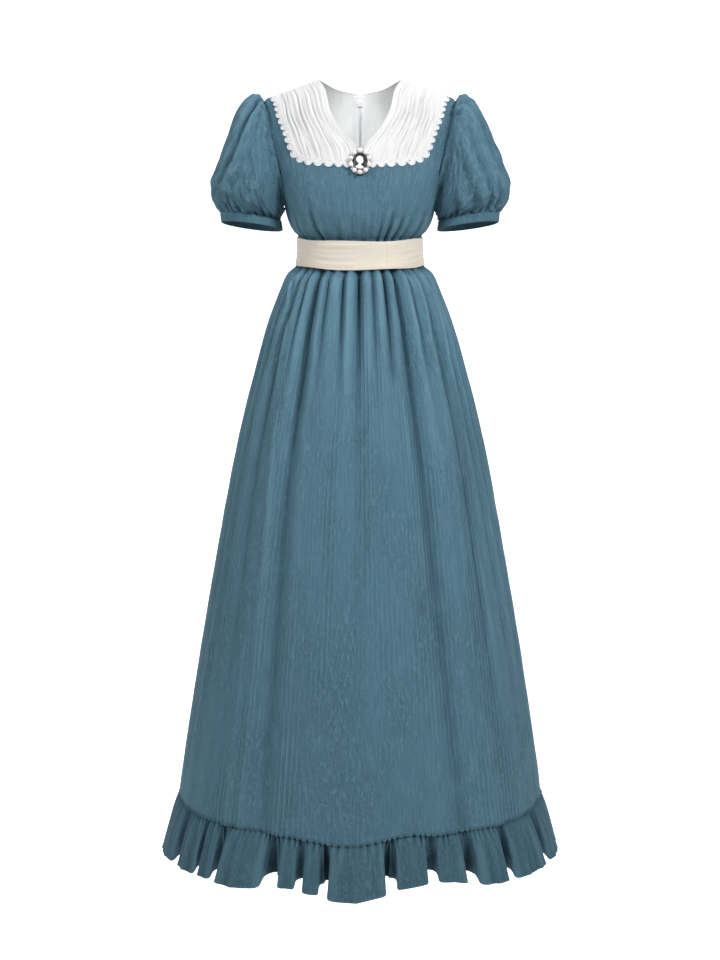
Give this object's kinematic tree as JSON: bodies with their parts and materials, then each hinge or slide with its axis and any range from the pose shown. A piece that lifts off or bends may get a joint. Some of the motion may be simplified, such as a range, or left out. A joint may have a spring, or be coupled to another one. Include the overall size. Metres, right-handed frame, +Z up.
{
  "type": "tiered maxi dress",
  "caption": "Long empire-waist dress with puff sleeves, a pleated V yoke edged with lace, a sash, an oval brooch and a gathered hem ruffle, filled out as worn.",
  "frame": {"origin": "centre of the neck, level with the two points where the neck edge meets the shoulder seams", "axes": "+Z up, front of the dress towards -Y, the wearer's left towards +X"},
  "size_m": [0.7216, 0.6054, 1.3914],
  "materials": {
    "blue_cloth": "matt crinkled crepe",
    "white_chiffon": "matt pleated chiffon",
    "white_lace": "matt cotton lace",
    "cream_satin": "soft satin",
    "white_tape": "woven zip tape",
    "white_enamel": "enamelled zip slider",
    "dark_metal": "dark antique metal",
    "pearl": "imitation pearl",
    "cameo_white": "moulded resin"
  },
  "bodies": {
    "dress": {"bodice_front": "blue_cloth", "bodice_back_left": "blue_cloth", "bodice_back_right": "blue_cloth", "yoke_front_left": "white_chiffon", "yoke_front_right": "white_chiffon", "yoke_back_left": "white_chiffon", "yoke_back_right": "white_chiffon", "lace_left": "white_lace", "lace_right": "white_lace", "skirt_front": "blue_cloth", "skirt_back_left": "blue_cloth", "skirt_back_right": "blue_cloth", "ruffle_front": "blue_cloth", "ruffle_back": "blue_cloth", "sleeve_left": "blue_cloth", "sleeve_right": "blue_cloth", "cuff_left": "blue_cloth", "cuff_right": "blue_cloth", "sash": "cream_satin", "zip_tape_left": "white_tape", "zip_tape_right": "white_tape", "zip_slider": "white_enamel", "brooch_tray": "dark_metal", "cameo_bust": "cameo_white", "pearl_01": "pearl", "pearl_02": "pearl", "pearl_03": "pearl", "pearl_04": "pearl", "pearl_05": "pearl", "pearl_06": "pearl", "pearl_07": "pearl", "pearl_08": "pearl", "pearl_09": "pearl", "pearl_10": "pearl"},
    "zip_pull": {"zip_pull": "white_enamel"}
  },
  "joints": [
    {"name": "zip_pull_hinge", "type": "hinge", "parent": "dress", "child": "zip_pull", "pos_m": [0, 0.06706, -0.0363], "axis": [1, 0, 0], "range_deg": [0, 110]}
  ]
}
